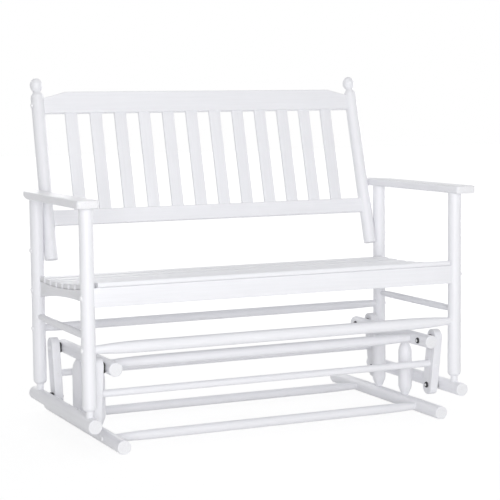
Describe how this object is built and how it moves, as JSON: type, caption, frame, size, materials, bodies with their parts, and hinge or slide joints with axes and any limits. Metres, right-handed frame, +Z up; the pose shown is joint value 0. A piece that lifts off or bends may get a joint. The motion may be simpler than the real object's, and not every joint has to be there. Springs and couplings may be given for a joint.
{
  "type": "glider bench",
  "caption": "Painted wooden porch bench that glides: the slatted seat hangs on swing arms inside a round-rail base and moves to and fro without leaving level.",
  "frame": {"origin": "middle of the footprint on the floor, half-way between the two floor rails and half-way along them", "axes": "+X along the bench to the sitter's left, which is the right of someone facing it, -Y to the front, +Z up"},
  "size_m": [1.188, 0.652, 0.9827],
  "materials": {
    "white_painted_wood": "satin white paint over light hardwood",
    "bolt_cap_white": "white painted steel",
    "pivot_bolt_metal": "black coated steel",
    "spacer_plastic": "black nylon"
  },
  "bodies": {
    "base": {"base_bolts": "bolt_cap_white", "front_floor_stretcher": "white_painted_wood", "left_floor_rail": "white_painted_wood", "left_front_base_post": "white_painted_wood", "left_rear_base_post": "white_painted_wood", "left_upper_rail": "white_painted_wood", "rear_floor_stretcher": "white_painted_wood", "right_floor_rail": "white_painted_wood", "right_front_base_post": "white_painted_wood", "right_rear_base_post": "white_painted_wood", "right_upper_rail": "white_painted_wood", "top_pivot_bolts": "pivot_bolt_metal", "top_pivot_spacers": "spacer_plastic", "upper_cross_rail": "white_painted_wood"},
    "seat": {"back_bolts": "bolt_cap_white", "back_slat_01": "white_painted_wood", "back_slat_02": "white_painted_wood", "back_slat_03": "white_painted_wood", "back_slat_04": "white_painted_wood", "back_slat_05": "white_painted_wood", "back_slat_06": "white_painted_wood", "back_slat_07": "white_painted_wood", "back_slat_08": "white_painted_wood", "back_slat_09": "white_painted_wood", "back_slat_10": "white_painted_wood", "back_slat_11": "white_painted_wood", "back_slat_12": "white_painted_wood", "bottom_pivot_bolts": "pivot_bolt_metal", "bottom_pivot_spacers": "spacer_plastic", "center_bearer": "white_painted_wood", "crest_rail": "white_painted_wood", "front_apron": "white_painted_wood", "front_leg_stretcher": "white_painted_wood", "left_armrest": "white_painted_wood", "left_back_post": "white_painted_wood", "left_front_leg": "white_painted_wood", "left_rear_leg": "white_painted_wood", "left_seat_runner": "white_painted_wood", "left_seat_side_rail": "white_painted_wood", "left_side_stretcher": "white_painted_wood", "lower_back_rail": "white_painted_wood", "rear_leg_stretcher": "white_painted_wood", "rear_seat_rail": "white_painted_wood", "right_armrest": "white_painted_wood", "right_back_post": "white_painted_wood", "right_front_leg": "white_painted_wood", "right_rear_leg": "white_painted_wood", "right_seat_runner": "white_painted_wood", "right_seat_side_rail": "white_painted_wood", "right_side_stretcher": "white_painted_wood", "seat_frame_bolts": "bolt_cap_white", "seat_slats": "white_painted_wood"},
    "front_swing_arms": {"left_front_swing_arm": "white_painted_wood", "right_front_swing_arm": "white_painted_wood", "front_swing_dowel": "white_painted_wood", "front_arm_bushes": "spacer_plastic"},
    "rear_swing_arms": {"left_rear_swing_arm": "white_painted_wood", "right_rear_swing_arm": "white_painted_wood", "rear_swing_dowel": "white_painted_wood", "rear_arm_bushes": "spacer_plastic"}
  },
  "joints": [
    {"name": "glide", "type": "hinge", "parent": "base", "child": "front_swing_arms", "pos_m": [0, -0.224, 0.214], "axis": [1, 0, 0], "range_deg": [-14, 14]},
    {"name": "seat_on_front_arms", "type": "hinge", "parent": "front_swing_arms", "child": "seat", "pos_m": [0, -0.202, 0.077], "axis": [1, 0, 0], "range_deg": [-16.2, 16.2]},
    {"name": "rear_arm_swing", "type": "hinge", "parent": "base", "child": "rear_swing_arms", "pos_m": [0, 0.152, 0.214], "axis": [1, 0, 0], "range_deg": [-14.4, 14.4]}
  ],
  "couplings": [
    {"joint": "seat_on_front_arms", "follows": "glide", "ratio": -1.1295},
    {"joint": "rear_arm_swing", "follows": "glide", "ratio": 1}
  ]
}
